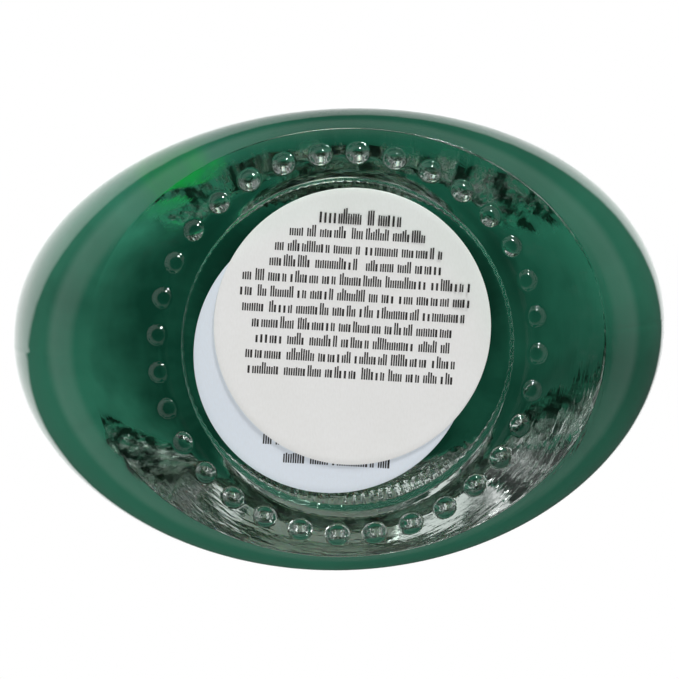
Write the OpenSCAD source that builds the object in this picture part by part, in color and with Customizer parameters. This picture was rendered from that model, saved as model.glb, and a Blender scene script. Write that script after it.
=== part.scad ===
// Nail polish bottle with a brush cap, closed and standing upright, in millimetres.
// +Z runs up the neck, +X along the long side of the oval body, and z = 0 is the
// plane that the bottle stands on, at the middle of its round foot.

/* [Glass body] */
// Length of the oval body at its widest height
body_length = 44; // [40:0.5:48]
// Width of the oval body at its widest height
body_width = 30.6; // [30:0.1:34]
// Height of the widest point at the ends of the oval
end_widest_z = 12.5; // [10:0.5:14]
// Height of the widest point at its long sides
side_widest_z = 4; // [3.5:0.5:8]
// Height where the shoulder meets the neck
shoulder_z = 36; // [35:0.5:40]
// Height of the inside floor
floor_z = 5.2; // [4.8:0.1:5.6]
// Height of the lacquer's surface
fill_z = 29; // [24:0.5:30]

/* [Base plate, foot and label well] */
// Length of the oval edge of the base plate, where it meets the heel
plate_length = 34.2; // [32:0.2:36]
// Width of that edge
plate_width = 28.2; // [27.6:0.2:28.8]
// Height of that edge
plate_edge_z = 1.3; // [1.1:0.1:1.6]
// Outer radius of the flat ring that the bottle stands on
foot_r = 11.5; // [11.3:0.1:11.7]
// Radius of the label well in the foot
well_r = 10.8; // [10.6:0.1:11]
// Depth of the label well
well_depth = 1.1; // [0.8:0.1:1.6]
// Number of bumps round the foot
bump_count = 32; // [16:1:40]
// Radius of one bump
bump_r = 0.8; // [0.6:0.05:0.9]
// Radius of the circle that the bumps stand on
bump_ring_r = 12.4; // [12.2:0.1:12.5]

/* [Neck and thread] */
// Radius of the neck at the root of its thread
neck_r = 5.75; // [5.6:0.05:5.8]
// Height of the lip above the shoulder
neck_height = 11.2; // [11:0.1:12]
// Radius of the neck's bore
bore_r = 3.7; // [3.5:0.1:4]
// Height of the thread ridge above its root
thread_depth = 0.7; // [0.5:0.05:0.75]
// Rise of the thread in one turn
thread_pitch = 2.117; // [2:0.001:2.2]

/* [Cap] */
// Radius of the cap shell at its mouth
shell_mouth_r = 9.7; // [9.4:0.1:10.5]
// Radius of the cap shell at its top
shell_top_r = 8.4; // [8.2:0.1:9.2]
// Height of the cap shell
shell_height = 35.5; // [30:0.5:40]
// Outer radius of the threaded inner cap
inner_cap_r = 7.6; // [7.5:0.05:7.8]

/* [Brush] */
// Radius of the stem below its socket
stem_r = 2.1; // [2:0.05:2.2]
// Radius of the stem's lower end
stem_end_r = 1.65; // [1.6:0.05:1.8]
// Height of the stem's lower end
stem_end_z = 22.5; // [20:0.5:24]
// Height of the brush's tip
brush_tip_z = 6.3; // [6:0.1:7]
// Radius of the tuft at its fullest
tuft_r = 1.6; // [1.5:0.05:1.8]

/* [Labels and mixing balls] */
// Radius of each of the two round labels
label_r = 9.1; // [8.5:0.1:9.4]
// Thickness of each label
label_thickness = 0.1; // [0.08:0.01:0.12]
// Radius of a mixing ball
ball_r = 2; // [1.8:0.1:2.1]
// Radius of the circle that the balls roll on
ball_orbit_r = 6; // [5.9:0.1:6.1]

/* [Hidden] */
$fn = 96;

overlap = 0.25;               // how far joined shapes run into each other
body_sides = 48;              // sides of the oval loft
ridge_sides = 32;             // sides of one turn of thread

lip_z = shoulder_z + neck_height;
foot_edge = [foot_r + 0.5, 0.45];   // radius and height where the foot's edge ends
plate_start = [12.15, 0.52];        // radius and height where the base plate starts
plate_half = [plate_length / 2, plate_width / 2];
plate_curve = 1.8;                  // power by which the plate steepens towards its edge
body_half = [body_length / 2, body_width / 2];
end_heel_angle = 10;                // angle on the heel's curve at the plate's edge
side_heel_angle = 45;
shoulder_power = 2.2;
shoulder_root_r = neck_r + 0.9;
ceiling_z = well_depth;             // roof of the label well
under_label_place = [-1, 0.7];
top_label_place = [0.4, -1.1];
bore_start_z = shoulder_z - 3.6;    // where the neck's bore opens into the inside

// Half length, half width and height of the inside, from its floor to below the neck
inside = [[9, 7, floor_z], [13, 8.8, floor_z], [14.8, 9.3, floor_z + 1.4],
          [16.4, 9.4, floor_z + 4.8], [18, 9.6, shoulder_z - 21], [18.6, 10.2, shoulder_z - 16],
          [18, 10.8, shoulder_z - 10], [14.5, 9.6, shoulder_z - 5.5],
          [8.5, 6.6, shoulder_z - 3], [bore_r + 0.5, bore_r + 0.5, shoulder_z - 2.4]];
inside_shift = [-0.5, -0.3];        // how far the inside is off centre below the shoulder

thread_start_z = lip_z - 6.2;
neck_thread_turns = 1.5;
cap_thread_turns = 1.2;
thread_crest_r = neck_r + thread_depth;
cap_bore_r = thread_crest_r + 0.2;
cap_crest_r = neck_r + 0.2;
ridge_offset = thread_pitch / 2 - 0.06; // the cap's ridge, below the neck's ridge
fade_steps = 4;                     // steps over which a ridge rises at its ends

clearance = 0.05;                   // between pieces that turn on each other
washer_thickness = 0.9;
disc_z = lip_z + washer_thickness + 2 * clearance;
disc_thickness = 1.5;
inner_cap_mouth_z = shoulder_z + 1.4;
shell_mouth_z = shoulder_z + 0.5;
shell_hollow_r = 6.9;
shell_top_z = shell_mouth_z + shell_height;
shell_edge_r = 1.6;

post_r = 2.7;
post_z = lip_z - 4.2;
socket_r = 1.9;
socket_depth = 6.2;
tuft_hole_r = 1.15;
tuft_hole_depth = 4;
staple_size = [2.9, 0.4, 1.4];
staple_z = stem_end_z + 2.2;
brush_room_r = 2.7;                 // clear space in the lacquer round the brush

function sine_power(angle, power) = pow(sin(angle), 2 / power);
function cosine_power(angle, power) = pow(cos(angle), 2 / power);

turns = [for (i = [0:body_sides - 1]) 360 * i / body_sides];

// A value that is one number at the ends of the oval and another at its long sides.
function between(ends, sides, turn) = sides + (ends - sides) * pow(cos(turn), 2);

function oval_point(half, turn, z) = [half[0] * cos(turn), half[1] * sin(turn), z];

// Ring of the base plate, from its round start (share 0) to its oval edge (share 1).
function plate_ring(share) = let (round_half = [plate_start[0], plate_start[0]])
    [for (turn = turns)
        oval_point(round_half + (plate_half - round_half) * share, turn,
                   plate_start[1] + (plate_edge_z - plate_start[1]) * pow(share, plate_curve))];

// Ring of the rounded heel, from the plate's edge (share 0) to the widest point (share 1).
function heel_ring(share) = [for (turn = turns) let (
    start = between(end_heel_angle, side_heel_angle, turn),
    top = between(end_widest_z, side_widest_z, turn),
    angle = start + (90 - start) * share,
    inset = (1 - sin(angle)) / (1 - sin(start)))
    oval_point(body_half - (body_half - plate_half) * inset, turn,
               top + (plate_edge_z - top) * cos(angle) / cos(start))];

// Ring of the shoulder, from the widest point (share 0) to the root of the neck (share 1).
function shoulder_ring(share) = [for (turn = turns) let (
    angle = 90 * (1 - share),
    low = between(end_widest_z, side_widest_z, turn),
    root = [shoulder_root_r, shoulder_root_r])
    oval_point(root + (body_half - root) * sine_power(angle, shoulder_power), turn,
               low + (shoulder_z - low) * cosine_power(angle, shoulder_power))];

// Smooth curve that is drawn towards its control points, with steps points for each.
function spline(controls, steps) = let (last = len(controls) - 1,
        padded = concat([controls[0]], controls, [controls[last]]))
    concat([for (k = [0:last - 1], i = [0:steps - 1]) let (t = i / steps)
                (padded[k] * pow(1 - t, 3) + padded[k + 1] * (3 * pow(t, 3) - 6 * pow(t, 2) + 4)
                 + padded[k + 2] * (3 * t + 3 * pow(t, 2) - 3 * pow(t, 3) + 1)
                 + padded[k + 3] * pow(t, 3)) / 6],
           [(controls[last - 1] + 5 * controls[last]) / 6]);

// Ring of the inside wall. Its centre comes back to the axis below the neck.
function inside_ring(section) = let (
        drift = inside_shift * min(1, max(0, (shoulder_z - 6 - section[2]) / 12)))
    [for (turn = turns) oval_point(section, turn, section[2]) + [drift[0], drift[1], 0]];

// Faces of a tube of rings, closed at both ends.
function skin_faces(rings, sides) = concat(
    [[for (i = [0:sides - 1]) i]],
    [for (k = [0:rings - 2], i = [0:sides - 1]) let (j = (i + 1) % sides)
        [k * sides + i, (k + 1) * sides + i, (k + 1) * sides + j, k * sides + j]],
    [[for (i = [sides - 1:-1:0]) (rings - 1) * sides + i]]);

module loft(rings) {
    polyhedron(points = [for (ring = rings) each ring],
               faces = skin_faces(len(rings), body_sides), convexity = 4);
}

module body_loft() {
    loft(concat([for (i = [0:3]) plate_ring(i / 4)],
                [for (i = [0:7]) heel_ring(i / 8)],
                [for (i = [0:12]) shoulder_ring(i / 12)]));
}

module cavity() {
    loft([for (section = spline(inside, 2)) inside_ring(section)]);
}

// A thread ridge: a trapezoid carried round a helix. It fades into the wall at its
// ends, and its root lies inside the wall. side is 1 outwards and -1 inwards.
module thread_ridge(wall_r, crest_r, side, start_z, turns) {
    steps = round(ridge_sides * turns);
    root_r = wall_r - side * overlap;
    stations = [for (i = [0:steps]) let (
            fade = min(1, (i + 0.4) / fade_steps, (steps - i + 0.4) / fade_steps),
            angle = 360 * i / ridge_sides,
            z = start_z + thread_pitch * i / ridge_sides,
            r = root_r + (crest_r - root_r) * fade)
        each [for (corner = [[root_r, -0.72], [r, -0.3], [r, 0.3], [root_r, 0.72]])
            [corner[0] * cos(angle), corner[0] * sin(angle), z + corner[1]]]];
    faces = skin_faces(steps + 1, 4);
    polyhedron(points = stations, faces = side > 0 ? [for (f = faces) reversed(f)] : faces,
               convexity = 6);
}

function reversed(list) = [for (i = [len(list) - 1:-1:0]) list[i]];

// The foot: a flat ring and its rounded edge, which run up into the base plate.
module foot() {
    rotate_extrude()
        polygon([[0, 0], [foot_r, 0], [foot_r + 0.35, 0.15], foot_edge,
                 [foot_edge[0], foot_edge[1] + 1.2], [0, foot_edge[1] + 1.2]]);
}

module bumps() {
    for (i = [0:bump_count - 1])
        rotate([0, 0, 360 * (i + 0.5) / bump_count])
            translate([bump_ring_r, 0, bump_r + 0.02])
                sphere(r = bump_r);
}

module neck() {
    rotate_extrude()
        polygon([[0, shoulder_z - 1.5], [neck_r, shoulder_z - 1.5],
                 [neck_r, lip_z - 0.5], [neck_r - 0.5, lip_z], [0, lip_z]]);
}

module glass_bottle() {
    color([0.12, 0.45, 0.34, 0.6])
    difference() {
        union() {
            body_loft();
            foot();
            bumps();
            neck();
            thread_ridge(neck_r, thread_crest_r, 1, thread_start_z, neck_thread_turns);
        }
        cavity();
        translate([0, 0, bore_start_z])
            cylinder(r = bore_r, h = lip_z - bore_start_z + 1);
        translate([0, 0, -1])
            cylinder(r = well_r, h = 1 + ceiling_z);
    }
}

// The lacquer keeps clear of the brush, and of the track that the balls roll in.
module nail_lacquer() {
    track_w = 2 * ball_r + 0.4;
    color([0.03, 0.24, 0.16])
    difference() {
        intersection() {
            cavity();
            translate([0, 0, floor_z - 1])
                cylinder(r = body_length, h = fill_z - floor_z + 1);
        }
        translate([0, 0, floor_z - 1])
            cylinder(r = brush_room_r, h = fill_z - floor_z + 2);
        rotate_extrude()
            translate([ball_orbit_r - track_w / 2, floor_z - 1])
                square([track_w, track_w + 1]);
    }
}

module round_label(place, top_z) {
    translate([place[0], place[1], top_z - label_thickness])
        cylinder(r = label_r, h = label_thickness);
}

module shade_label() {
    color([0.86, 0.89, 0.93])
        round_label(under_label_place, ceiling_z);
}

module ingredients_label() {
    color([0.95, 0.95, 0.95])
        round_label(top_label_place, ceiling_z - label_thickness);
}

module mixing_ball(side) {
    color([0.75, 0.76, 0.78])
        translate([0, side * ball_orbit_r, floor_z + ball_r + clearance])
            sphere(r = ball_r);
}

module mixing_ball_1() { mixing_ball(-1); }

module mixing_ball_2() { mixing_ball(1); }

module sealing_washer() {
    color([0.93, 0.93, 0.9])
        translate([0, 0, lip_z + clearance])
            difference() {
                cylinder(r = cap_bore_r - 0.2, h = washer_thickness);
                translate([0, 0, -1])
                    cylinder(r = post_r + 0.15, h = washer_thickness + 2);
            }
}

module inner_cap() {
    color([0.9, 0.9, 0.88])
    difference() {
        union() {
            difference() {
                translate([0, 0, inner_cap_mouth_z])
                    cylinder(r = inner_cap_r, h = disc_z + disc_thickness - inner_cap_mouth_z);
                translate([0, 0, inner_cap_mouth_z - 1])
                    cylinder(r = cap_bore_r, h = disc_z - inner_cap_mouth_z + 1);
            }
            thread_ridge(cap_bore_r, cap_crest_r, -1, thread_start_z - ridge_offset,
                         cap_thread_turns);
            translate([0, 0, post_z])
                cylinder(r = post_r, h = disc_z - post_z + overlap);
        }
        translate([0, 0, post_z - 1])
            cylinder(r = socket_r, h = socket_depth + 1);
    }
}

// Outline of the shell: straight taper with a rounded top edge.
function shell_outline() = concat(
    [[0, shell_mouth_z], [shell_mouth_r, shell_mouth_z]],
    [for (i = [0:6]) let (angle = 90 * i / 6)
        [shell_top_r - shell_edge_r + shell_edge_r * cos(angle),
         shell_top_z - shell_edge_r + shell_edge_r * sin(angle)]],
    [[0, shell_top_z]]);

module cap_shell() {
    seat_z = disc_z + disc_thickness;
    color([0.05, 0.05, 0.06])
    difference() {
        rotate_extrude()
            polygon(shell_outline());
        translate([0, 0, shell_mouth_z - 1])
            cylinder(r = inner_cap_r, h = seat_z - shell_mouth_z + 1);
        translate([0, 0, seat_z - 1])
            cylinder(r = shell_hollow_r, h = shell_top_z - 1.5 - seat_z + 1);
    }
}

module staple_blank() {
    translate([-staple_size[0] / 2, -staple_size[1] / 2, staple_z])
        cube(staple_size);
}

module brush_stem() {
    color([0.92, 0.92, 0.9])
    difference() {
        rotate_extrude()
            polygon([[0, stem_end_z], [stem_end_r - 0.2, stem_end_z],
                     [stem_end_r, stem_end_z + 0.2], [stem_end_r, stem_end_z + 5],
                     [stem_r, stem_end_z + 9], [stem_r, post_z], [socket_r, post_z],
                     [socket_r, post_z + socket_depth], [0, post_z + socket_depth]]);
        translate([0, 0, stem_end_z - 1])
            cylinder(r = tuft_hole_r, h = tuft_hole_depth + 1);
        staple_blank();
    }
}

module tuft_staple() {
    color([0.78, 0.76, 0.7])
        staple_blank();
}

module brush_tuft() {
    full_z = stem_end_z - 7;
    color([0.1, 0.1, 0.1])
    difference() {
        rotate_extrude()
            polygon([[0, brush_tip_z], [0.7, brush_tip_z + 0.15], [1.15, brush_tip_z + 1.1],
                     [tuft_r, full_z - 3], [tuft_r, full_z], [1.25, stem_end_z - 0.6],
                     [tuft_hole_r, stem_end_z], [tuft_hole_r, stem_end_z + tuft_hole_depth],
                     [0, stem_end_z + tuft_hole_depth]]);
        staple_blank();
    }
}

glass_bottle();
nail_lacquer();
shade_label();
ingredients_label();
mixing_ball_1();
mixing_ball_2();
sealing_washer();
inner_cap();
cap_shell();
brush_stem();
tuft_staple();
brush_tuft();
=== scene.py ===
import math
import random

import bpy
from mathutils import Matrix, Vector, noise


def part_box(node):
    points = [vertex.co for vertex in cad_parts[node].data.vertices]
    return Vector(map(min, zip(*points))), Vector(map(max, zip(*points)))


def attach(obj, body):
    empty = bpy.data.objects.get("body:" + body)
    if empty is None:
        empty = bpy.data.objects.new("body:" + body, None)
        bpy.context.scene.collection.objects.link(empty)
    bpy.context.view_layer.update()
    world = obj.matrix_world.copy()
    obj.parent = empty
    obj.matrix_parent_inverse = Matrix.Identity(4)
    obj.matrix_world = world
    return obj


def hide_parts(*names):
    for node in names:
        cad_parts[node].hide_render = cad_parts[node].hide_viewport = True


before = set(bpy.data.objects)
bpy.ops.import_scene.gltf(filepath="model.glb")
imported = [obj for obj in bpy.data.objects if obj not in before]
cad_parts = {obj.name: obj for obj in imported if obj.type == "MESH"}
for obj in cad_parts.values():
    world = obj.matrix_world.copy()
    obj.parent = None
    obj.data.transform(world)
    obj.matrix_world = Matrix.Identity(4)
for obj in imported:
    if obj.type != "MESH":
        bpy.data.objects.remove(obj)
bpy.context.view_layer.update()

# Sizes below are in millimetres, and the meshes are scaled to metres as they are made.
MM = 0.001

glass_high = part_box("glass_bottle")[1] / MM
lacquer_low, lacquer_high = (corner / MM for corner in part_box("nail_lacquer"))
shell_low, shell_high = (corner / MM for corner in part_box("cap_shell"))
inner_low, inner_high = (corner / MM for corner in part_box("inner_cap"))
stem_low, stem_high = (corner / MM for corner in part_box("brush_stem"))
tuft_low, tuft_high = (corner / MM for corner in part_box("brush_tuft"))
washer_low, washer_high = (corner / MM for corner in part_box("sealing_washer"))

BODY_HALF = (22.0, 15.3)
LIP_Z = glass_high.z
FLOOR_Z = lacquer_low.z
FILL_Z = lacquer_high.z
AIM_Z = 10
SHOULDER_Z = LIP_Z - 11.2
CAVITY_TOP_Z = SHOULDER_Z - 2.6
NECK_R = 5.75
BORE_R = 3.7
WELL_R = 10.8
WELL_DEPTH = 1.1
FOOT_R, FOOT_RAMP = 11.2, 1.3
HEEL_R, HEEL_Z = 12.0, 0.46
PLATE_HALF, PLATE_Z = (17.1, 14.1), 1.3
PLATE_CURVE = 1.8
HEEL_START_ANGLE = (10, 45)
HEEL_TOP_Z = (12.5, 4.0)
SHOULDER_POWER = 2.2
NECK_FILLET = 0.9
SEAM_HEIGHT = 0.03
FLASH_HEIGHT = 0.02

# Half length, half width and height of the inside, from the floor to below the neck.
CAVITY = [(9.0, 7.0, 5.2), (13.0, 8.8, 5.2), (14.8, 9.3, 6.6), (16.4, 9.4, 10.0),
          (18.0, 9.6, 15.0), (18.6, 10.2, 20.0), (18.0, 10.8, 26.0), (14.5, 9.6, 30.5),
          (8.5, 6.6, 33.0), (4.2, 4.2, 33.6)]
CAVITY_SHIFT = (-0.5, -0.3)

BUMP_COUNT = 32
BUMP_R = 0.8
BUMP_RING_R = 12.4
FLUTE_COUNT = 96
FLUTE_DEPTH = 0.035
KNURL_COUNT = 110

PITCH = 2.117
THREAD_DEPTH = 0.7
THREAD_START_Z = LIP_Z - 6.2
NECK_TURNS = 1.5
CAP_TURNS = 1.2
SOCKET_DEPTH = 6.2

LABEL_THICKNESS = 0.09
UNDER_LABEL = {"centre": (-1.0, 0.7), "radius": 9.1, "top": WELL_DEPTH - 0.004}
TOP_LABEL = {"centre": (0.4, -1.1), "radius": 9.1, "top": WELL_DEPTH - 0.108}
PRINT_TILT = 6.2
STROKE_PITCH = 0.155

FILAMENT_COUNT = 340

# Colours of the lacquer: its own deep colour, a lighter copy painted where the walls would be lit,
# and the colour and middle, with its height squeezed, of a painted patch of emerald light on the
# front wall.
LACQUER_DEEP = (0.003, 0.042, 0.025, 1)
LACQUER_PAINTED_LIT = (0.036, 0.205, 0.132, 1)
LACQUER_PAINTED_GLOW = (0.0, 0.34, 0.03, 1)
PAINTED_GLOW_SQUEEZE = 0.3
PAINTED_GLOW_CENTRE = (-9.4, -8.6, 18.5 * PAINTED_GLOW_SQUEEZE)

# The room that glass reflects: levels of light, and between which upward directions (-1
# to 1) each fades. A slope makes the light or the height of a fade vary along X and Y.
DARK_LEVEL = 0.04
DARK_EDGE = (-0.65, -0.25)
SIDE_LEVEL = 0.62
SIDE_SLOPE = (-0.10, -0.15)
EAVES_LEVEL = 0.12
EAVES_EDGE = (0.15, 0.45)
BACK_LEVEL = 1.2
BACK_EDGE = (0.80, 0.87)
BACK_SLOPE = (-0.12, -0.34)
# One round window: its direction, radius and soft rim in degrees, and level.
WINDOW_TOWARD = (0.394, -0.883, -0.26)
WINDOW_SIZE, WINDOW_RIM, WINDOW_LEVEL = 5, 2, 75.0

# The lamp and the camera, in metres.
LAMP_PLACE = (-0.14, 0.28, -0.6)
LAMP_ENERGY = 3.0
CAMERA_TILT = (0.042, 0.080)
CAMERA_ROLL = 2.6
CAMERA_DISTANCE = 0.35
CAMERA_LENS = 284
CAMERA_SHIFT = (-0.002, -0.0097)


# ---------------------------------------------------------------- mesh helpers

def circle_ring(r, z, count):
    return oval_ring(r, r, z, count)


def oval_ring(half_x, half_y, z, count):
    step = 2 * math.pi / count
    return [Vector((half_x * math.cos(i * step), half_y * math.sin(i * step), z))
            for i in range(count)]


def rings_along(profile, count):
    """Round rings at each (radius, height) of a profile."""
    return [circle_ring(r, z, count) for r, z in profile]


def pole(z):
    return [Vector((0, 0, z))]


def stitch(rings, closed=False):
    """Faces between rings of points, seen from the side where the rings run outward at
    the bottom. A ring may have half or twice the last one's points, or be one point."""
    starts = [0]
    for ring in rings:
        starts.append(starts[-1] + len(ring))
    pairs = list(range(len(rings) - 1))
    faces = []
    for k in pairs + ([len(rings) - 1] if closed else []):
        nxt = (k + 1) % len(rings)
        a, b = starts[k], starts[nxt]
        n, m = len(rings[k]), len(rings[nxt])
        for i in range(min(n, m) if min(n, m) > 1 else max(n, m)):
            j = (i + 1) % max(n, m)
            if n == 1:
                faces.append((a, b + j, b + i))
            elif m == 1:
                faces.append((a + i, a + j, b))
            elif n == m:
                faces.append((a + i, a + j, b + j, b + i))
            elif m == 2 * n:
                j = (i + 1) % n
                faces.append((a + i, a + j, b + (2 * i + 2) % m, b + 2 * i + 1))
                faces.append((a + i, b + 2 * i + 1, b + 2 * i))
            else:
                j = (i + 1) % m
                faces.append((a + 2 * i, a + 2 * i + 1, b + i))
                faces.append((a + 2 * i + 1, a + (2 * i + 2) % n, b + j, b + i))
    return [p for ring in rings for p in ring], faces


def arc(centre, radius, start, end, steps):
    """Points (radius, height) on an arc, from one angle to another in degrees."""
    angles = [math.radians(start + (end - start) * i / steps) for i in range(steps + 1)]
    return [(centre[0] + radius * math.cos(t), centre[1] + radius * math.sin(t)) for t in angles]


def spline(controls, steps):
    """A smooth cubic B-spline drawn towards its control points."""
    points = []
    ends = [controls[0]] + list(controls) + [controls[-1]]
    for a, b, c, d in zip(ends, ends[1:], ends[2:], ends[3:]):
        for i in range(steps):
            t = i / steps
            w = ((1 - t) ** 3, 3 * t ** 3 - 6 * t ** 2 + 4,
                 -3 * t ** 3 + 3 * t ** 2 + 3 * t + 1, t ** 3)
            points.append(tuple(sum(k * p[axis] for k, p in zip(w, (a, b, c, d))) / 6
                                for axis in range(len(a))))
    points.append(tuple((p + 5 * q) / 6 for p, q in zip(controls[-2], controls[-1])))
    return points


def add_piece(name, mesh_parts, body, material, replaces=(), smooth=True):
    """Makes one object from (points, faces) in millimetres and puts it on a body."""
    points, faces = mesh_parts
    mesh = bpy.data.meshes.new(name)
    mesh.from_pydata([tuple(p * MM) for p in points], [], faces)
    mesh.validate()
    mesh.update()
    piece = bpy.data.objects.new(name, mesh)
    bpy.context.scene.collection.objects.link(piece)
    mesh.materials.append(material)
    if smooth:
        mesh.shade_smooth()
    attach(piece, body)
    if replaces:
        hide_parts(*replaces)
    return piece


def joined(parts):
    """One (points, faces) from several."""
    points, faces = [], []
    for more_points, more_faces in parts:
        base = len(points)
        points += more_points
        faces += [tuple(base + i for i in face) for face in more_faces]
    return points, faces


# -------------------------------------------------------------- node helpers

class Nodes:
    """Short calls for building one node tree."""

    def __init__(self, tree, output):
        self.tree = tree
        self.tree.nodes.clear()
        self.output = self.add(output)

    def add(self, kind, settings=None, **inputs):
        node = self.tree.nodes.new(kind)
        for key, value in (settings or {}).items():
            setattr(node, key, value)
        for key, value in inputs.items():
            self.put(node, key.replace("_", " "), value)
        return node

    def put(self, node, key, value):
        socket = node.inputs[key]
        if isinstance(value, bpy.types.NodeSocket):
            self.tree.links.new(value, socket)
        else:
            socket.default_value = value

    def add_with(self, kind, settings, *values):
        """A node whose inputs are given in their order."""
        node = self.add(kind, settings)
        for i, value in enumerate(values):
            self.put(node, i, value)
        return node

    def maths(self, operation, *values):
        return self.add_with("ShaderNodeMath", {"operation": operation}, *values).outputs[0]

    def vector_maths(self, operation, first, second):
        node = self.add_with("ShaderNodeVectorMath", {"operation": operation}, first, second)
        return node.outputs["Value"]

    def split(self, vector):
        """The x, y and z of a vector."""
        return tuple(self.add("ShaderNodeSeparateXYZ", Vector=vector).outputs)

    def ramp(self, value, low, high, low_to, high_to, settings=None):
        made = self.add("ShaderNodeMapRange", settings, Value=value)
        ends = {"From Min": low, "From Max": high, "To Min": low_to, "To Max": high_to}
        for key, number in ends.items():
            made.inputs[key].default_value = number
        return made.outputs[0]

    def blend(self, factor, first, second):
        """A mix of two shaders."""
        return self.add_with("ShaderNodeMixShader", None, factor, first, second).outputs[0]

    def finish(self, shader):
        self.tree.links.new(shader, self.output.inputs["Surface"])


class MaterialNodes(Nodes):
    def __init__(self, name):
        self.material = bpy.data.materials.new(name)
        self.material.use_nodes = True
        super().__init__(self.material.node_tree, "ShaderNodeOutputMaterial")
        self.where = self.add("ShaderNodeTexCoord").outputs["Object"]

    def noise(self, scale, detail=2.0, stretch=(1, 1, 1), roughness=0.5):
        mapping = self.add("ShaderNodeMapping", Vector=self.where, Scale=stretch)
        made = self.add("ShaderNodeTexNoise", Vector=mapping.outputs[0], Scale=scale,
                        Detail=detail, Roughness=roughness)
        return made.outputs["Fac"]

    def mix(self, factor, first, second):
        """A mix of two colours."""
        made = self.add("ShaderNodeMix", {"data_type": "RGBA"})
        for key, value in ((0, factor), (6, first), (7, second)):
            self.put(made, key, value)
        return made.outputs[2]

    def bump(self, height, strength, distance, normal=None):
        made = self.add("ShaderNodeBump", Height=height, Strength=strength, Distance=distance)
        if normal is not None:
            self.put(made, "Normal", normal)
        return made.outputs[0]

    def principled(self, **inputs):
        return self.add("ShaderNodeBsdfPrincipled", None, **inputs).outputs[0]

    def finish(self, shader):
        super().finish(shader)
        return self.material


# ----------------------------------------------------------------- materials

def glass_material():
    """Clear moulded glass, rippled in circles round the well and knurled at the well's edge.
    Light for what is inside goes straight through it."""
    n = MaterialNodes("moulded_glass")
    x, y, z = n.split(n.where)
    reach = n.maths("SQRT", n.maths("ADD", n.maths("POWER", x, 2.0), n.maths("POWER", y, 2.0)))
    angle = n.maths("ARCTAN2", y, x)
    turned = n.add("ShaderNodeCombineXYZ", X=n.maths("MULTIPLY", reach, 2300.0),
                   Y=n.maths("MULTIPLY", angle, 5.0))
    rings = n.add("ShaderNodeTexNoise", Vector=turned.outputs[0], Scale=1.0, Detail=3.0)
    back_right = n.maths("MULTIPLY_ADD", x, 0.6, y)
    rings = n.maths("MULTIPLY", rings.outputs["Fac"], n.ramp(back_right, 0.0, 0.012, 0.5, 3.0))
    knurl = n.maths("SINE", n.maths("MULTIPLY", angle, float(KNURL_COUNT)))
    knurl = n.maths("MULTIPLY", knurl, n.ramp(reach, 0.0098, 0.0100, 0.0, 1.0))
    knurl = n.maths("MULTIPLY", knurl, n.ramp(reach, 0.0106, 0.0108, 1.0, 0.0))
    low_down = n.ramp(z, 0.0014, 0.0020, 1.0, 0.0)
    rings = n.maths("MULTIPLY", n.maths("ADD", rings, knurl), low_down)
    normal = n.bump(n.noise(260, 2), 0.05, 0.0006, n.bump(rings, 1.0, 0.000012))
    glass = n.principled(Base_Color=(0.93, 0.985, 0.955, 1), Roughness=0.0, IOR=1.52,
                         Transmission_Weight=1.0, Normal=normal)
    clear = n.add("ShaderNodeBsdfTransparent", Color=(0.9, 0.97, 0.93, 1)).outputs[0]
    path = n.add("ShaderNodeLightPath").outputs
    straight = n.maths("MAXIMUM", path["Is Shadow Ray"], path["Is Diffuse Ray"])
    return n.finish(n.blend(straight, glass, clear))


def lacquer_colour(n):
    """Darker on the floor, lighter up the walls, with drawn-out streaks between the two,
    lighter to the left and the back: the lighter colour is painted light, where the walls
    would be lit. One painted patch of emerald light, as if shining through, lies on the front wall."""
    x, y, height = n.split(n.where)
    streaks = n.noise(130, 4, (1.0, 0.25, 0.6), 0.55)
    level = n.maths("MULTIPLY_ADD", streaks, 0.010, height)
    # Painted light: the lacquer's colour is lifted up the walls, where they would be lit.
    lit_share = n.ramp(level, (FLOOR_Z + 4.5) * MM, (FLOOR_Z + 12.5) * MM, 0.0, 1.0)
    cloud = n.ramp(n.noise(420, 3), 0.3, 0.7, -0.10, 0.10)
    lit_share = n.maths("MINIMUM", n.maths("MAXIMUM", n.maths("ADD", lit_share, cloud), 0.0), 1.0)
    # Painted light: lighter towards the ends, the left and the back, as if lit from there.
    place = n.maths("MULTIPLY_ADD", n.maths("ABSOLUTE", x), 0.55 / (18 * MM), 0.40)
    place = n.maths("MULTIPLY_ADD", x, -0.34 / (18 * MM), place)
    place = n.maths("ADD", place, n.ramp(y, -9 * MM, 9 * MM, -0.22, 0.55))
    lit_share = n.maths("MULTIPLY", lit_share, n.maths("MAXIMUM", place, 0.0))
    colour = n.mix(lit_share, LACQUER_DEEP, LACQUER_PAINTED_LIT)

    # A painted patch of emerald light on the front wall, as if light shone through the lacquer
    # there.
    squeezed = n.add("ShaderNodeMapping", Vector=n.where, Scale=(1, 1, PAINTED_GLOW_SQUEEZE))
    away = n.vector_maths("DISTANCE", squeezed.outputs[0], [c * MM for c in PAINTED_GLOW_CENTRE])
    ragged = n.maths("MULTIPLY_ADD", n.noise(900, 5, roughness=0.7), 0.004, away)
    edge = n.maths("MULTIPLY_ADD", n.noise(320, 4, (1, 1, 0.4)), 0.012, height)
    band = n.maths("MULTIPLY", n.ramp(edge, 16.5 * MM, 21.5 * MM, 0.0, 1.0),
                   n.ramp(edge, 23.5 * MM, 29.5 * MM, 1.0, 0.0))
    painted_glow = n.maths("MULTIPLY", band, n.ramp(ragged, 0.0030, 0.0056, 0.9, 0.0))
    return n.mix(painted_glow, colour, LACQUER_PAINTED_GLOW)


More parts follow.
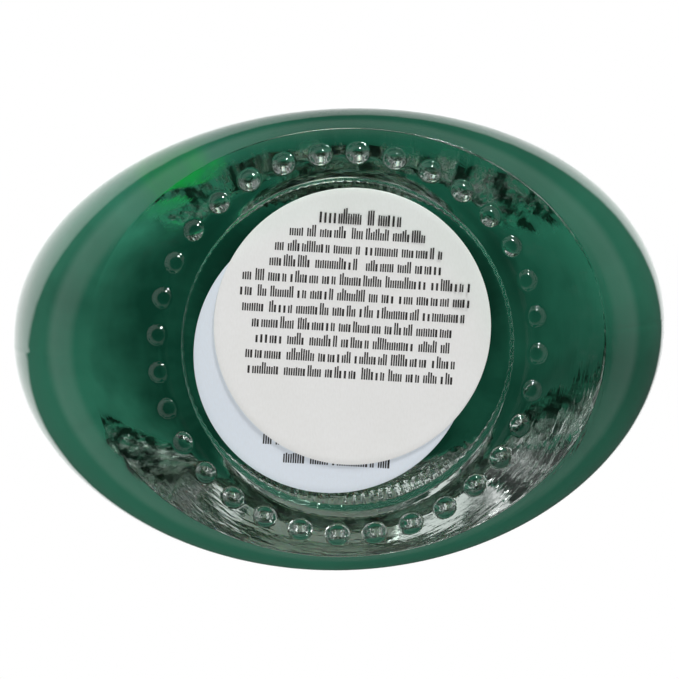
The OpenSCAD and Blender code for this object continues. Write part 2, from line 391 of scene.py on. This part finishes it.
def lacquer_against_glass():
    """Lacquer as seen from inside the glass: below a grazing angle it mirrors the glass, and the
    mirror is darkened in random patches, which is painted shade.
    """
    n = MaterialNodes("lacquer_against_glass")
    paint = n.add("ShaderNodeBsdfDiffuse", Color=lacquer_colour(n)).outputs[0]
    cells = n.bump(n.noise(1300, 5, (1, 1, 0.3), 0.6), 1.0, 0.00016)
    # Painted shade: random patches darken the mirror's colour nearly to black, so that what it
    # reflects looks shaded.
    painted_mirror_shade = n.ramp(n.noise(1000, 5, (1, 1, 0.22), 0.7), 0.42, 0.56, 0.0, 1.0)
    painted_mirror_shade = n.mix(painted_mirror_shade, (0.07, 0.11, 0.09, 1), (0.92, 1, 0.95, 1))
    mirror = n.add("ShaderNodeBsdfGlossy", Color=painted_mirror_shade, Roughness=0.0, Normal=cells).outputs[0]
    graze = n.add("ShaderNodeFresnel", IOR=0.967).outputs[0]
    return n.finish(n.blend(graze, paint, mirror))


def lacquer_surface():
    """The free surface of the lacquer."""
    n = MaterialNodes("lacquer_surface")
    # The colour carries the painted light and the painted emerald glow from lacquer_colour.
    return n.finish(n.principled(Base_Color=lacquer_colour(n), Roughness=0.04, Coat_Weight=0.5,
                                 Coat_Roughness=0.02))


def paper(name, colour, shade):
    """Coated sticker paper with faint fibre, stains and a slight sheen."""
    n = MaterialNodes(name)
    fibre = n.noise(9000, 4, (1, 0.35, 1))
    blotch = n.ramp(n.noise(180, 4), 0.4, 0.75, 0.0, 0.55)
    colour = n.mix(blotch, colour, shade)
    colour = n.mix(n.ramp(fibre, 0.35, 0.7, 0.0, 0.12), colour, (0.62, 0.60, 0.56, 1))
    rough = n.ramp(n.noise(700, 3), 0.3, 0.7, 0.42, 0.58)
    return n.finish(n.principled(Base_Color=colour, Roughness=rough,
                                 Normal=n.bump(fibre, 0.12, 0.00002)))


def ink_material():
    n = MaterialNodes("printed_ink")
    wear = n.ramp(n.noise(2600, 3), 0.45, 0.8, 0.0, 0.7)
    colour = n.mix(wear, (0.012, 0.010, 0.010, 1), (0.09, 0.08, 0.075, 1))
    return n.finish(n.principled(Base_Color=colour, Roughness=0.6))


def black_gloss():
    """Glossy moulded plastic with fine scuffs."""
    n = MaterialNodes("black_gloss")
    scuffs = n.noise(900, 6, (1, 1, 0.08), 0.7)
    peel = n.noise(420, 2)
    rough = n.ramp(scuffs, 0.45, 0.75, 0.07, 0.2)
    colour = n.mix(n.ramp(scuffs, 0.5, 0.8, 0, 1), (0.010, 0.010, 0.012, 1),
                   (0.020, 0.020, 0.022, 1))
    return n.finish(n.principled(Base_Color=colour, Roughness=rough, Coat_Weight=0.3,
                                 Coat_Roughness=0.05, Normal=n.bump(peel, 0.08, 0.0003)))


def satin_plastic(name, colour, shade):
    n = MaterialNodes(name)
    cloud = n.ramp(n.noise(240, 4), 0.35, 0.7, 0, 1)
    grain = n.noise(3200, 3)
    return n.finish(n.principled(Base_Color=n.mix(cloud, colour, shade),
                                 Roughness=n.ramp(grain, 0.3, 0.7, 0.32, 0.45),
                                 Subsurface_Weight=0.15, Subsurface_Scale=0.001,
                                 Normal=n.bump(grain, 0.08, 0.00005)))


def foam_material():
    n = MaterialNodes("liner_foam")
    cells = n.add("ShaderNodeTexVoronoi", Vector=n.where, Scale=4200.0).outputs["Distance"]
    colour = n.mix(n.ramp(cells, 0.1, 0.6, 0, 1), (0.86, 0.86, 0.83, 1), (0.70, 0.70, 0.66, 1))
    return n.finish(n.principled(Base_Color=colour, Roughness=0.8,
                                 Normal=n.bump(cells, 0.4, 0.00006)))


def bright_metal(name, colour, shade):
    n = MaterialNodes(name)
    drawn = n.noise(2400, 4, (1, 0.05, 1))
    return n.finish(n.principled(Base_Color=n.mix(drawn, colour, shade), Metallic=1.0,
                                 Roughness=n.ramp(drawn, 0.3, 0.7, 0.12, 0.25)))


def filament_material():
    """Black nylon filaments, wet with lacquer towards the tip."""
    n = MaterialNodes("nylon_filaments")
    height = n.split(n.where)[2]
    edge = n.maths("ADD", height, n.ramp(n.noise(900, 3), 0, 1, -0.0012, 0.0012))
    wet = n.ramp(edge, (tuft_low.z + 11) * MM, (tuft_low.z + 13) * MM, 1, 0)
    colour = n.mix(wet, (0.016, 0.015, 0.015, 1), LACQUER_DEEP)
    return n.finish(n.principled(Base_Color=colour, Roughness=n.ramp(wet, 0, 1, 0.38, 0.08)))


# ------------------------------------------------------------------ the bottle

def oval_point(half, turn, z):
    return Vector((half[0] * math.cos(turn), half[1] * math.sin(turn), z))


def seam_turns(count):
    """The angles of a ring's points, drawn closer to the mould seam at each end."""
    step = 2 * math.pi / count
    turns = [i * step for i in range(count)]
    for i in (1, count // 2 + 1):
        turns[i] -= 0.55 * step
    for i in (count // 2 - 1, count - 1):
        turns[i] += 0.55 * step
    return turns


def with_seam(ring):
    """Raises the fine line that the two halves of the mould leave at each end."""
    for i in (0, len(ring) // 2):
        reach = math.hypot(ring[i].x, ring[i].y)
        ring[i].x *= 1 + SEAM_HEIGHT / reach
    return ring


def between(ends, sides, turn):
    """A value that is one number at the ends of the oval and another at its long sides."""
    return sides + (ends - sides) * math.cos(turn) ** 2


def shoulder_oval(angle, count):
    """A ring of the upper wall, closing in from the widest height to the neck."""
    t = math.radians(angle)
    grow, rise = math.sin(t) ** (2 / SHOULDER_POWER), math.cos(t) ** (2 / SHOULDER_POWER)
    root = NECK_R + NECK_FILLET
    half = [root + (wide - root) * grow for wide in BODY_HALF]
    ring = []
    for turn in seam_turns(count):
        low = between(*HEEL_TOP_Z, turn)
        ring.append(oval_point(half, turn, low + (SHOULDER_Z - low) * rise))
    return with_seam(ring)


def heel_oval(share, count):
    """A ring of the rounded heel, from the edge of the base plate to the widest height. The
    heel is deeper and softer at the ends of the oval than at its long sides."""
    ring = []
    for turn in seam_turns(count):
        ends, sides = HEEL_START_ANGLE
        ends -= 3.5 * max(0.0, -math.cos(turn)) ** 2
        first, top = math.radians(between(ends, sides, turn)), between(*HEEL_TOP_Z, turn)
        t = first + (math.pi / 2 - first) * share
        left = (1 - math.sin(t)) / (1 - math.sin(first))
        half = [wide - (wide - plate) * left for wide, plate in zip(BODY_HALF, PLATE_HALF)]
        ring.append(oval_point(half, turn, top + (PLATE_Z - top) * math.cos(t) / math.cos(first)))
    return with_seam(ring)


def flash_line(count):
    """The fine raised line round the edge of the base plate, where the mould parts."""
    ring = heel_oval(0, count)
    for p in ring:
        p.z -= FLASH_HEIGHT * min(1.0, max(0.1, p.x / 8 + 1.1))
    return ring


def smooth_step(t):
    t = min(1.0, max(0.0, t))
    return t * t * (3 - 2 * t)


def plate_ring(share, first_r, count):
    """A ring of the base plate, between a circle and the plate's oval edge."""
    half = [first_r + (edge - first_r) * share for edge in PLATE_HALF]
    ring = oval_ring(half[0], half[1], 0, count)
    for p in ring:
        reach = math.hypot(p.x, p.y)
        edge = 1 / math.hypot(p.x / reach / PLATE_HALF[0], p.y / reach / PLATE_HALF[1])
        out = max(0.0, (reach - HEEL_R) / (edge - HEEL_R))
        p.z = HEEL_Z + (PLATE_Z - HEEL_Z) * out ** PLATE_CURVE
        p.z *= smooth_step((reach - FOOT_R) / FOOT_RAMP)
    return ring


def with_bumps(ring):
    """Lowers the points of a heel ring on to the small round feet that stand on it."""
    step = 2 * math.pi / BUMP_COUNT
    for p in ring:
        turn = (math.floor(math.atan2(p.y, p.x) / step) + 0.5) * step
        away = math.hypot(p.x - BUMP_RING_R * math.cos(turn), p.y - BUMP_RING_R * math.sin(turn))
        if away < BUMP_R:
            foot = BUMP_R + 0.02 - math.sqrt(BUMP_R ** 2 - away ** 2)
            blend = 0.05
            gap = max(0.0, blend - abs(p.z - foot)) / blend
            p.z = min(p.z, foot) - gap * gap * blend / 4
    return ring


def ridge_height(angle, z, start_z, turns):
    """How far a thread stands out at one point of its wall."""
    height = 0.0
    for turn in range(int(turns) + 2):
        along = angle / (2 * math.pi) + turn
        if not 0 <= along <= turns:
            continue
        off = abs(z - start_z - PITCH * along)
        flank = min(1.0, max(0.0, (0.66 - off) / 0.36))
        fade = min(1.0, along * 8, (turns - along) * 8)
        height = max(height, THREAD_DEPTH * fade * flank * flank * (3 - 2 * flank))
    return height


def threaded(ring, start_z, turns, side):
    for p in ring:
        angle = math.atan2(p.y, p.x) % (2 * math.pi)
        r = math.hypot(p.x, p.y)
        k = (r + side * ridge_height(angle, p.z, start_z, turns)) / r
        p.x *= k
        p.y *= k
    return ring


def heel_profile():
    """The label well and the ring that the bottle stands on, as (radius, height)."""
    return spline([(9.9, WELL_DEPTH), (10.5, WELL_DEPTH), (WELL_R + 0.02, WELL_DEPTH + 0.02),
                   (WELL_R, 0.6), (WELL_R + 0.02, 0.02), (10.98, 0.0), (FOOT_R, 0.0)], 3)


def with_flutes(ring):
    """Shallow upright flutes on the wall of the label well."""
    z = ring[0].z
    if 0.1 < z < WELL_DEPTH - 0.05:
        for p in ring:
            turn = math.atan2(p.y, p.x)
            wave = math.sin(FLUTE_COUNT * turn + 1.5 * math.sin(5 * turn))
            k = 1 + FLUTE_DEPTH * wave / WELL_R
            p.x *= k
            p.y *= k
    return ring


def cavity_rings(grown, count, top=None):
    """Rings up the inside wall, from the floor, as far as the neck or the height top. The
    wall stands off centre low down, and drifts a little as blown glass does."""
    outline = spline(CAVITY, 7)
    rings = [oval_ring(r * 1.3, r, FLOOR_Z - grown, count) for r in (1.5, 3.0, 4.5, 6.0)]
    for half_x, half_y, z in outline:
        if top is not None and z >= top:
            break
        lower = max(0.0, min(1.0, (30 - z) / 12))
        ring = oval_ring(half_x + grown, half_y + grown, z - (grown if z < 6 else 0), count)
        for p in ring:
            p.x += CAVITY_SHIFT[0] * lower
            p.y += CAVITY_SHIFT[1] * lower
        rings.append(ring)
    for ring in rings:
        for p in ring:
            drift = noise.noise(p * 0.16) * 0.16 + noise.noise(p * 0.5 + Vector((9, 4, 2))) * 0.05
            drift += noise.noise(p * 1.1) * 0.018
            reach = math.hypot(p.x, p.y)
            k = 1 + drift / max(reach, 4.0) * min(1.0, max(0.0, (34 - p.z) / 4))
            p.x *= k
            p.y *= k
            p.z += drift * 0.6 * max(0.0, 1 - (p.z - FLOOR_Z) / 8)
    return rings


def make_glass(material):
    fine, mid, coarse = 768, 384, 192
    rings = [pole(WELL_DEPTH)]
    rings += [circle_ring(r, WELL_DEPTH, coarse) for r in (2, 4.5, 7)]
    rings += [circle_ring(r, WELL_DEPTH, mid) for r in (8, 9.2)]
    rings += [with_flutes(with_bumps(circle_ring(r, z, fine))) for r, z in heel_profile()]
    flat_end = BUMP_RING_R + BUMP_R + 0.1
    steps = 24
    rings += [with_bumps(plate_ring(0, FOOT_R + (flat_end - FOOT_R) * i / steps, fine))
              for i in range(1, steps + 1)]
    rings += [plate_ring(i / 16, flat_end, mid) for i in range(1, 16)]
    rings += [plate_ring(0.985, flat_end, mid), flash_line(mid), heel_oval(0.012, mid)]
    rings += [heel_oval((i / 34) ** 1.1, mid) for i in range(2, 35)]
    rings += [shoulder_oval(90 - 90 * i / 38, mid) for i in range(1, 37)]
    root = NECK_R + NECK_FILLET
    neck = arc((root, SHOULDER_Z + NECK_FILLET), NECK_FILLET, 270, 180, 6)
    thread_low, thread_high = THREAD_START_Z - 0.9, THREAD_START_Z + PITCH * NECK_TURNS + 0.9
    steps = 40
    neck += [(NECK_R, thread_low + (thread_high - thread_low) * i / steps) for i in range(steps + 1)]
    neck += arc((NECK_R - 0.5, LIP_Z - 0.5), 0.5, 0, 90, 6)
    neck += arc((BORE_R + 0.35, LIP_Z - 0.35), 0.35, 90, 180, 5)
    neck += [(BORE_R, LIP_Z - 4), (BORE_R, CAVITY_TOP_Z + 3)]
    rings += [threaded(ring, THREAD_START_Z, NECK_TURNS, 1) if ring[0].x > NECK_R - 0.01 else ring
              for ring in rings_along(neck, coarse)]
    rings += cavity_rings(0, coarse)[::-1]
    rings.append(pole(FLOOR_Z))
    add_piece("bottle_glass", stitch(rings), "bottle", material, ["glass_bottle"])


def make_lacquer(wall_material, top_material):
    """The lacquer up to its free surface, which rises a little at the glass."""
    overlap = 0.02
    rings = [pole(FLOOR_Z - overlap)] + cavity_rings(overlap, 192, FILL_Z - 0.4)
    edge = [Vector((p.x, p.y, FILL_Z)) for p in rings[-1]]
    rings.append(edge)
    wall_rings = len(rings)
    for inset, drop in ((0.985, 0.14), (0.96, 0.24), (0.9, 0.3), (0.6, 0.32), (0.3, 0.32)):
        rings.append([Vector((p.x * inset, p.y * inset, FILL_Z - drop)) for p in edge])
    rings.append(pole(FILL_Z - 0.32))
    points, faces = stitch(rings)
    piece = add_piece("lacquer_fill", (points, faces), "bottle", wall_material,
                      ["nail_lacquer"])
    piece.data.materials.append(top_material)
    first_top = sum(len(ring) for ring in rings[:wall_rings - 1])
    for face in piece.data.polygons:
        if min(face.vertices) >= first_top:
            face.material_index = 1


# ------------------------------------------------------------------ the labels

def label_rings(label, bend):
    """A sticker as a thin disc with soft edges. bend(x, y) lifts its surface."""
    count, r, top = 384, label["radius"], label["top"]
    low = top - LABEL_THICKNESS
    profile = [(r * k, low) for k in (0.12, 0.3, 0.5, 0.7, 0.85, 0.95)]
    profile += [(r - 0.05, low), (r - 0.015, low + 0.012), (r, low + 0.035), (r, top - 0.02),
                (r - 0.02, top)]
    profile += [(r * k, top) for k in (0.9, 0.6, 0.3)]
    rings = [pole(low)] + rings_along(profile, count) + [pole(top)]
    for ring in rings:
        for p in ring:
            p.x += label["centre"][0]
            p.y += label["centre"][1]
            p.z += bend(p.x, p.y)
    return rings


def flat(x, y):
    return 0.0


def over_step(x, y):
    """The upper sticker drops on to the glass where it runs past the edge of the lower one."""
    cx, cy = UNDER_LABEL["centre"]
    past = math.hypot(x - cx, y - cy) - UNDER_LABEL["radius"]
    return 0.09 * min(1.0, max(0.0, past / 0.35))


def greeked_rows(label, rows, pitch, height, top_v, chance):
    """Rows of short upright strokes that stand for print, with no letters in them. Each
    row is (half width, shift). u runs right and v up as the base is read from below. A
    narrow strip of the upper rows is left empty, where the print is worn off."""
    boxes = []
    turn = math.radians(PRINT_TILT)
    for k, (half, shift) in enumerate(rows):
        v0 = top_v - pitch * k
        u = -half + shift
        while u < half + shift:
            letters = chance.randint(2, 9)
            for _ in range(letters):
                kind = chance.random()
                tall = height * (1.45 if kind < 0.22 else 1.0)
                at = u
                for width in [0.1, 0.1] if kind < 0.7 else [0.14]:
                    if abs(at - 0.35) > 0.14 or v0 < 3:
                        boxes.append((at, v0, width, tall * chance.uniform(0.86, 1.0)))
                    at += STROKE_PITCH
                u += 2 * STROKE_PITCH
                if u > half + shift:
                    break
            u += 0.22
    points, faces = [], []
    low = label["top"] - LABEL_THICKNESS - 0.006
    for u, v, width, tall in boxes:
        base = len(points)
        for dz in (0.0, 0.012):
            for du, dv in ((0, 0), (width, 0), (width, tall), (0, tall)):
                a, b = u + du, v + dv
                x = a * math.cos(turn) + b * math.sin(turn)
                y = -(-a * math.sin(turn) + b * math.cos(turn))
                points.append(Vector((label["centre"][0] + x, label["centre"][1] + y, low + dz)))
        quads = ((0, 1, 2, 3), (7, 6, 5, 4), (0, 4, 5, 1), (1, 5, 6, 2), (2, 6, 7, 3),
                 (3, 7, 4, 0))
        faces += [tuple(base + i for i in q) for q in quads]
    return points, faces


def make_labels():
    under = paper("under_paper", (0.74, 0.80, 0.87, 1), (0.70, 0.76, 0.84, 1))
    top = paper("top_paper", (0.86, 0.86, 0.85, 1), (0.80, 0.80, 0.78, 1))
    add_piece("under_sticker", stitch(label_rings(UNDER_LABEL, flat)), "bottle", under,
              ["shade_label"])
    add_piece("top_sticker", stitch(label_rings(TOP_LABEL, over_step)), "bottle", top,
              ["ingredients_label"])
    chance = random.Random(11)
    heading = greeked_rows(TOP_LABEL, [(2.6, 0)], 1, 0.72, 6.7, chance)
    halves = [4.5, 5.4, 5.7, 7.4, 7.5, 7.3, 6.6, 6.3, 6.9, 6.7]
    body = greeked_rows(TOP_LABEL, [(h, 0) for h in halves], 1.02, 0.55, 5.75, chance)
    low = greeked_rows(UNDER_LABEL, [(4.8, 0.6), (3.6, 0.8)], 1.15, 0.66, -6.1, chance)
    ink = ink_material()
    add_piece("top_print", joined([heading, body]), "bottle", ink, smooth=False)
    add_piece("under_print", low, "bottle", ink, smooth=False)


# --------------------------------------------------------- the cap and its brush

def make_cap(shell_material, plastic, foam):
    mouth_r, top_r = shell_high.x, 8.4
    z0, z1 = shell_low.z, shell_high.z
    seat_z = inner_high.z
    inner_r = inner_high.x
    outline = [(inner_r, z0 + 0.3)] + arc((inner_r + 0.3, z0 + 0.3), 0.3, 180, 270, 4)
    outline += arc((mouth_r - 0.35, z0 + 0.35), 0.35, 270, 355, 6)
    outline += [(mouth_r + (top_r - mouth_r) * t, z0 + (z1 - 1.6 - z0) * t)
                for t in (0.1, 0.35, 0.65, 0.9)]
    outline += arc((top_r - 1.6, z1 - 1.6), 1.6, 2, 90, 14)
    outline += [(5.0, z1), (2.5, z1)]
    inside = [(2.5, z1 - 1.5), (6.2, z1 - 1.5), (6.9, z1 - 2.2), (6.9, seat_z + 0.3),
              (6.9, seat_z), (inner_r, seat_z)]
    rings = [pole(z1 - 1.5)] + rings_along(inside + outline, 192) + [pole(z1)]
    add_piece("cap_outer", stitch(rings), "applicator", shell_material,
              ["cap_shell"])

    disc_z = washer_high.z + 0.05
    post_z, socket_top = stem_high.z - SOCKET_DEPTH, stem_high.z
    bore_r = NECK_R + THREAD_DEPTH + 0.2
    post_r, socket_r = 2.7, 1.9
    outside = [(4, seat_z), (inner_r - 0.2, seat_z), (inner_r, seat_z - 0.2),
               (inner_r, inner_low.z + 0.2), (inner_r - 0.2, inner_low.z),
               (bore_r + 0.2, inner_low.z), (bore_r, inner_low.z + 0.2)]
    start = THREAD_START_Z - PITCH / 2 + 0.06
    low, high = start - 0.9, start + PITCH * CAP_TURNS + 0.9
    bore = [(bore_r, low + (high - low) * i / 40) for i in range(41)]
    inward = [(bore_r, disc_z - 0.3), (bore_r - 0.3, disc_z), (post_r + 0.4, disc_z),
              (post_r, disc_z - 0.4), (post_r, post_z + 0.2), (post_r - 0.2, post_z),
              (socket_r + 0.02, post_z), (socket_r, post_z + 0.1), (socket_r, socket_top)]
    # The path runs down the outside, so the rings are listed from the socket outwards.
    path = rings_along(inward[::-1], 192)
    path += [threaded(ring, start, CAP_TURNS, -1) for ring in rings_along(bore[::-1], 192)]
    path += rings_along(outside[::-1], 192)
    rings = [pole(socket_top)] + path + [pole(seat_z)]
    add_piece("cap_insert", stitch(rings), "applicator", plastic,
              ["inner_cap"])

    r0, r1, z0, z1 = 2.85, washer_high.x, washer_low.z, washer_high.z
    section = [(r0, z0 + 0.08), (r0 + 0.08, z0), (r1 - 0.1, z0), (r1, z0 + 0.1),
               (r1, z1 - 0.1), (r1 - 0.1, z1), (r0 + 0.08, z1), (r0, z1 - 0.08)]
    add_piece("foam_liner", stitch(rings_along(section, 128), closed=True), "liner", foam,
              ["sealing_washer"])


def make_brush(plastic, nylon):
    z0, z1 = stem_low.z, stem_high.z
    collar_z = z1 - SOCKET_DEPTH
    hole_r = tuft_high.x - 0.42
    stem = [(hole_r, z0 + 3.4), (hole_r, z0 + 0.15), (hole_r + 0.12, z0), (1.5, z0),
            (1.65, z0 + 0.15), (1.65, z0 + 5), (1.8, z0 + 6.6), (2.0, z0 + 8.2),
            (2.1, z0 + 9.6), (2.1, collar_z - 0.15), (1.98, collar_z),
            (1.9, collar_z + 0.05), (1.9, z1 - 0.2), (1.7, z1)]
    rings = [pole(z0 + 3.4)] + rings_along(stem, 96) + [pole(z1)]
    add_piece("brush_rod", stitch(rings), "applicator", plastic, ["brush_stem"])

    chance = random.Random(5)
    parts = []
    golden = math.pi * (3 - math.sqrt(5))
    root_r, belly_r = hole_r * 0.93, tuft_high.x
    for k in range(FILAMENT_COUNT):
        share = math.sqrt((k + 0.5) / FILAMENT_COUNT)
        turn = k * golden
        ends = tuft_low.z + 0.15 + 2.0 * share ** 3 + chance.uniform(0, 0.5)
        rings = []
        for step in range(9):
            t = step / 8
            z = z0 + 1.2 + (ends - z0 - 1.2) * t
            belly = math.sin(math.pi * min(1, t * 0.86)) ** 1.3
            spread = root_r + (belly_r - root_r) * belly
            spread *= 1 - 0.30 * max(0, t - 0.75) / 0.25 * share
            reach = spread * share + 0.03 * math.sin(6 * t + k)
            at = Vector((reach * math.cos(turn), reach * math.sin(turn), z))
            thick = 0.045 if t < 0.95 else 0.03
            rings.append([at + Vector((thick * math.cos(a), thick * math.sin(a), 0))
                          for a in (0, 1.047, 2.094, 3.142, 4.189, 5.236)])
        parts.append(stitch([[rings[-1][0]]] + rings[::-1] + [[rings[0][0]]]))
    add_piece("nylon_tuft", joined(parts), "applicator", nylon, ["brush_tuft"])


# ----------------------------------------------------------------------- build

natural = satin_plastic("natural_plastic", (0.83, 0.83, 0.80, 1), (0.74, 0.74, 0.70, 1))
make_glass(glass_material())
make_lacquer(lacquer_against_glass(), lacquer_surface())
make_labels()
make_cap(black_gloss(), natural, foam_material())
make_brush(natural, filament_material())

cad_looks = {
    "mixing_ball_1": bright_metal("ball_steel", (0.72, 0.73, 0.75, 1), (0.55, 0.56, 0.58, 1)),
    "tuft_staple": bright_metal("staple_metal", (0.82, 0.72, 0.48, 1), (0.62, 0.52, 0.32, 1)),
}
cad_looks["mixing_ball_2"] = cad_looks["mixing_ball_1"]
for node, look in cad_looks.items():
    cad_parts[node].data.materials.clear()
    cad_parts[node].data.materials.append(look)


# ---------------------------------------------------------------- floor and light

def make_floor():
    """A pale floor that is seen only from above, so that the base can be looked at."""
    mesh = bpy.data.meshes.new("floor")
    size = 3.0
    mesh.from_pydata([(-size, -size, 0), (size, -size, 0), (size, size, 0), (-size, size, 0)], [],
                     [(0, 1, 2, 3)])
    floor = bpy.data.objects.new("floor", mesh)
    bpy.context.scene.collection.objects.link(floor)
    n = MaterialNodes("pale_floor")
    plain = n.add("ShaderNodeBsdfDiffuse", Color=(0.86, 0.86, 0.85, 1)).outputs[0]
    clear = n.add("ShaderNodeBsdfTransparent").outputs[0]
    side = n.add("ShaderNodeNewGeometry").outputs["Backfacing"]
    mesh.materials.append(n.finish(n.blend(side, plain, clear)))
    floor.visible_diffuse = False
    floor.visible_glossy = False
    floor.visible_transmission = False
    floor.visible_shadow = False


def make_world():
    """Plain white for the camera. For all other rays it is a pale room with a dark space
    under the base, and one small bright window."""
    world = bpy.data.worlds.new("studio")
    bpy.context.scene.world = world
    world.use_nodes = True
    n = Nodes(world.node_tree, "ShaderNodeOutputWorld")
    soft = {"interpolation_type": "SMOOTHSTEP"}
    direction = n.add("ShaderNodeTexCoord").outputs["Generated"]
    x, y, up = n.split(direction)
    around = n.maths("MULTIPLY_ADD", x, SIDE_SLOPE[0], SIDE_LEVEL)
    around = n.maths("MULTIPLY_ADD", y, SIDE_SLOPE[1], around)
    sides = n.maths("MULTIPLY", n.ramp(up, *DARK_EDGE, 0.0, 1.0, soft), around)
    sides = n.maths("MULTIPLY", sides, n.ramp(up, *EAVES_EDGE, 1.0, EAVES_LEVEL, soft))
    sides = n.maths("MAXIMUM", sides, DARK_LEVEL)
    high = n.maths("MULTIPLY_ADD", x, BACK_SLOPE[0], up)
    high = n.maths("MULTIPLY_ADD", y, BACK_SLOPE[1], high)
    room = n.maths("MAXIMUM", sides, n.ramp(high, *BACK_EDGE, 0.0, BACK_LEVEL, soft))

    toward = n.vector_maths("DOT_PRODUCT", direction, Vector(WINDOW_TOWARD).normalized())
    window = n.ramp(toward, math.cos(math.radians(WINDOW_SIZE + WINDOW_RIM)),
                    math.cos(math.radians(WINDOW_SIZE)), 0.0, WINDOW_LEVEL, soft)
    total = n.maths("ADD", room, window)
    seen = n.add("ShaderNodeLightPath").outputs["Is Camera Ray"]
    level = n.maths("MULTIPLY_ADD", total, n.maths("SUBTRACT", 1.0, seen), seen)
    n.finish(n.add("ShaderNodeBackground", Color=(1, 1, 1, 1), Strength=level).outputs[0])


def make_lights():
    """A large soft light from under the camera's side that shows only on matt surfaces."""
    data = bpy.data.lights.new("soft_fill", "AREA")
    data.shape = "DISK"
    data.size = 0.5
    data.energy = LAMP_ENERGY
    lamp = bpy.data.objects.new("soft_fill", data)
    bpy.context.scene.collection.objects.link(lamp)
    lamp.location = LAMP_PLACE
    lamp.rotation_mode = "QUATERNION"
    lamp.rotation_quaternion = (-Vector(lamp.location)).to_track_quat("-Z", "Y")
    lamp.visible_glossy = False
    lamp.visible_transmission = False


def make_camera():
    """Looks up at the base, a little from the front left, with the front at the top."""
    data = bpy.data.cameras.new("camera")
    data.sensor_width = 36
    data.lens = CAMERA_LENS
    data.shift_x, data.shift_y = CAMERA_SHIFT
    camera = bpy.data.objects.new("camera", data)
    bpy.context.scene.collection.objects.link(camera)
    forward = Vector((*CAMERA_TILT, 1)).normalized()
    roll = math.radians(CAMERA_ROLL)
    up = Vector((math.sin(roll), -math.cos(roll), 0))
    right = forward.cross(up).normalized()
    up = right.cross(forward)
    aim = Vector((0, 0, AIM_Z * MM))
    turn = Matrix((right, up, -forward)).transposed()
    place = aim - forward * (CAMERA_DISTANCE + aim.z)
    camera.matrix_world = Matrix.Translation(place) @ turn.to_4x4()
    data.clip_start, data.clip_end = 0.01, 20
    bpy.context.scene.camera = camera


make_floor()
make_world()
make_lights()
make_camera()

scene = bpy.context.scene
scene.view_settings.view_transform = "Standard"
scene.cycles.max_bounces = 32
scene.cycles.glossy_bounces = 24
scene.cycles.transmission_bounces = 24
scene.cycles.transparent_max_bounces = 32
